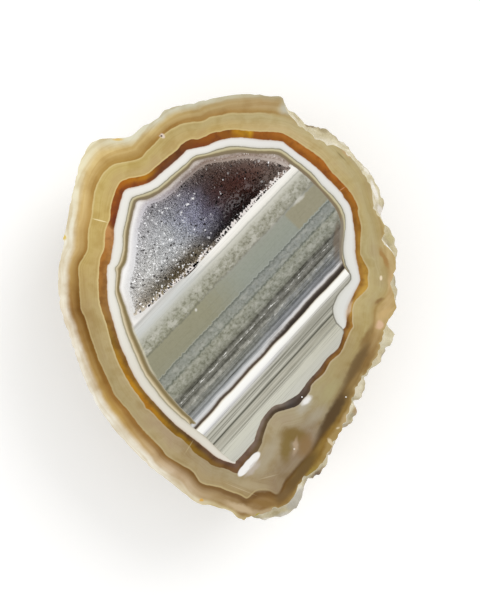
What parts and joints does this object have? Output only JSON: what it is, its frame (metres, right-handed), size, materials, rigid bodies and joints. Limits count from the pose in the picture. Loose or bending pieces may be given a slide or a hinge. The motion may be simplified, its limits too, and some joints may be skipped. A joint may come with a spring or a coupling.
{
  "type": "cut and polished agate nodule half",
  "caption": "Half of an agate nodule lying on its rough rounded back, with a polished face on top and an open pocket lined with quartz crystals.",
  "frame": {"origin": "under the middle of the stone, at the lowest point of the rough back that it lies on", "axes": "+Z out of the polished face, which lies level, and +Y along the stone, towards the end with the pocket"},
  "size_m": [0.0785, 0.0985, 0.036],
  "materials": {
    "polished_agate": "polished face in brown, orange, white and grey bands, rough rind",
    "quartz_crystals": "small clear to smoky crystals with bright flat faces"
  },
  "bodies": {
    "root": {"agate_nodule": "polished_agate", "quartz_druse": "quartz_crystals"}
  },
  "joints": []
}
